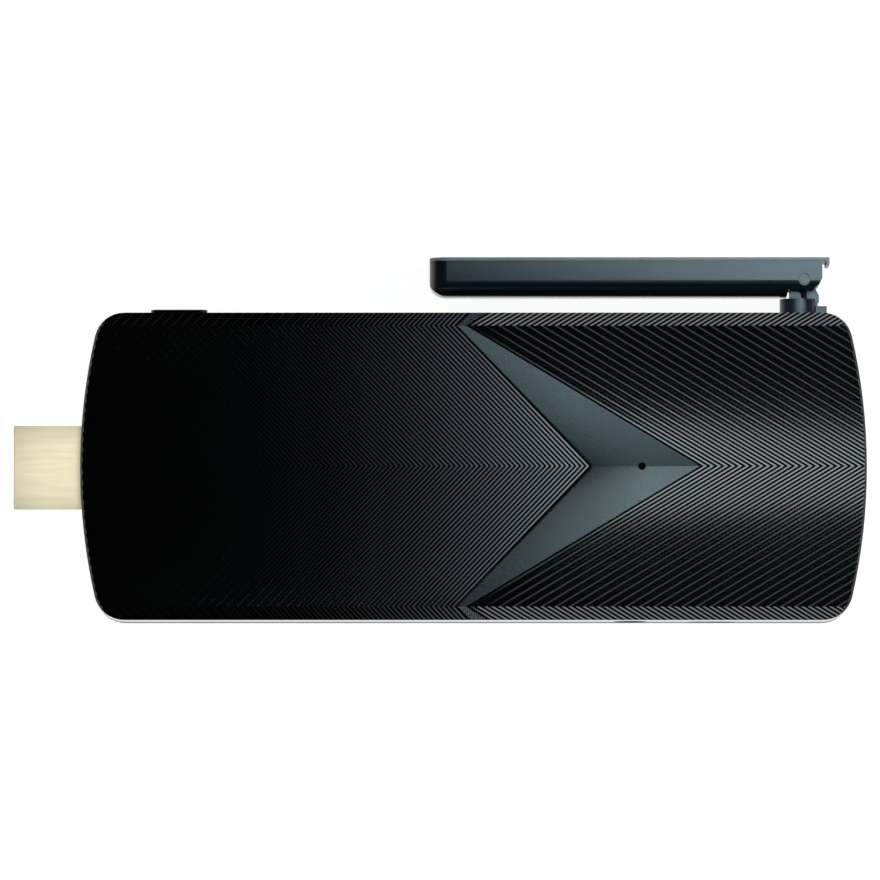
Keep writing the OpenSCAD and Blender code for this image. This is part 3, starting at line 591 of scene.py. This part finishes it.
smoked_clear = plastic("smoked_clear", (0.003, 0.0035, 0.004), 0.3, grain=0.05, speckle=0.1)
finish_node("light_pipe", smoked_clear)
led_white = plastic("led_white", (0.8, 0.78, 0.7), 0.4, speckle=0.06)
finish_node("status_led", led_white)


# Boards. Glass-fibre laminate under green or blue solder resist, with copper tracks that show
# through it as lighter lines. The main board rests on the bottom case's posts.

def board(name, colour, track, pitch):
    """Solder resist over tracks: a plastic with thin lines of a lighter tone."""
    material = plastic(name, colour, 0.3, grain=0.1)
    nodes, links = material.node_tree.nodes, material.node_tree.links
    shader = nodes["Principled BSDF"]
    place = nodes.new("ShaderNodeTexCoord")
    cells = nodes.new("ShaderNodeTexBrick")
    cells.inputs["Scale"].default_value = pitch
    cells.inputs["Mortar Size"].default_value = 0.06
    cells.inputs["Color1"].default_value = list(colour) + [1]
    cells.inputs["Color2"].default_value = [c * 1.2 for c in colour] + [1]
    cells.inputs["Mortar"].default_value = list(track) + [1]
    links.new(place.outputs["Object"], cells.inputs["Vector"])
    links.new(cells.outputs["Color"], shader.inputs["Base Color"])
    return material


board_green = board("board_green", (0.01, 0.06, 0.03), (0.03, 0.14, 0.06), 260)
board_blue = board("board_blue", (0.008, 0.03, 0.09), (0.03, 0.09, 0.2), 400)
finish_node("main_board", board_green)
finish_node("wifi_board", board_blue)


# Parts on the board. Black epoxy packages, a grey silicone pad under a folded aluminium heat
# sink, ferrite coils, ceramic capacitors and a steel-canned crystal, all soldered in place.

chip_epoxy = plastic("chip_epoxy", (0.012, 0.012, 0.013), 0.55, grain=0.6, grain_scale=6000)
for node in ("processor", "memory_chips", "storage_chip", "power_chip"):
    finish_node(node, chip_epoxy)
gap_pad = plastic("gap_pad", (0.3, 0.34, 0.4), 0.7, grain=0.5)
finish_node("thermal_pad", gap_pad)
sink_aluminium = metal("sink_aluminium", (0.75, 0.76, 0.77), 0.38, (0.05, 1, 1))
finish_node("heat_sink", sink_aluminium)
ferrite = plastic("ferrite", (0.05, 0.05, 0.05), 0.65, grain=0.6)
finish_node("power_coils", ferrite)
ceramic_tan = plastic("ceramic_tan", (0.32, 0.2, 0.11), 0.5, speckle=0.15)
finish_node("capacitors", ceramic_tan)
finish_node("crystal", tinned_steel)
finish_node("wifi_shield", tinned_steel)


# Aerial lead. A thin black coaxial cable with a gold push-on plug runs from the radio board
# through the hollow hinge to the antenna.

cable_jacket = plastic("cable_jacket", (0.01, 0.01, 0.011), 0.4, grain=0.3)
finish_node("coax_plug", contact_gold)
for node in ("case_coax", "base_coax", "blade_coax"):
    finish_node(node, cable_jacket)


# Antenna hinge. A dark moulded base turns in a slippery white bush in the back wall, held by a
# wave washer and a ring. The antenna folds on a steel pin through the base's tongue.

base_plastic = plastic("base_plastic", (0.014, 0.021, 0.027), 0.28, grain=0.2)
base = softened("antenna_base", "hinge_base", 0.12)
stands_for(base, "antenna_base", "base", base_plastic)
antenna_group.objects.link(base)
bush_acetal = plastic("bush_acetal", (0.7, 0.7, 0.67), 0.35, speckle=0.04)
finish_node("swivel_bush", bush_acetal)
finish_node("wave_washer", spring_steel)
finish_node("retaining_ring", spring_steel)
pin_steel = metal("pin_steel", (0.11, 0.105, 0.1), 0.45)
finish_node("hinge_pin", pin_steel)
antenna_group.objects.link(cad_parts["hinge_pin"])


# Antenna. A black moulded shell with a large round along its lower edge and its free end, closed
# by a snapped-on grey lid. The element is printed on a strip of board that lies inside.

antenna_plastic = plastic("antenna_plastic", (0.004, 0.007, 0.01), 0.2, grain=0.15, speckle=0.08)
blade = copied("antenna_shell", "antenna_body")
smooth_below(blade, 30)
stands_for(blade, "antenna_shell", "antenna", antenna_plastic)
antenna_group.objects.link(blade)
lid_plastic = plastic("lid_plastic", (0.22, 0.225, 0.225), 0.4, grain=0.2, speckle=0.08)
lid = softened("antenna_lid", "antenna_cover", 0.12)
stands_for(lid, "antenna_lid", "antenna", lid_plastic)
antenna_group.objects.link(lid)
finish_node("antenna_element", board_green)
